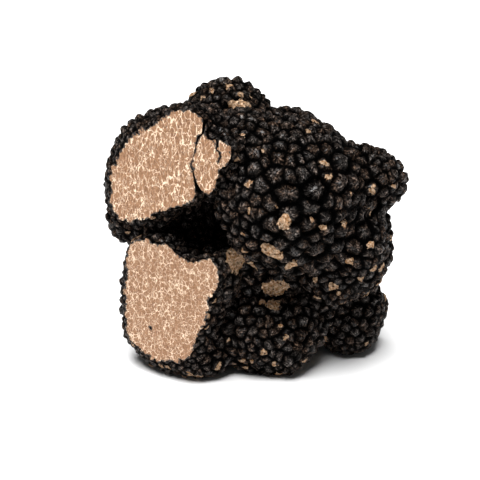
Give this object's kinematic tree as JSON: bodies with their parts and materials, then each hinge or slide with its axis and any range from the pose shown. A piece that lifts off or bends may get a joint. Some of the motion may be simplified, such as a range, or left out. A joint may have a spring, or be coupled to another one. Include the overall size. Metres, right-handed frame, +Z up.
{
  "type": "black truffle",
  "caption": "Knobbly black truffle with a warty skin, sliced flat on one side to show pale marbled flesh, resting on its lower lobes.",
  "frame": {"origin": "centre of the bounding box's bottom, on the surface the truffle rests on", "axes": "+Z up, -Y towards the viewer of the sliced side, +X to that viewer's right"},
  "size_m": [0.0777, 0.0562, 0.0746],
  "materials": {
    "skin": "matt warty skin, near black",
    "flesh": "matt cut flesh, tan with cream veins"
  },
  "bodies": {
    "root": {"truffle": "skin"}
  },
  "joints": []
}
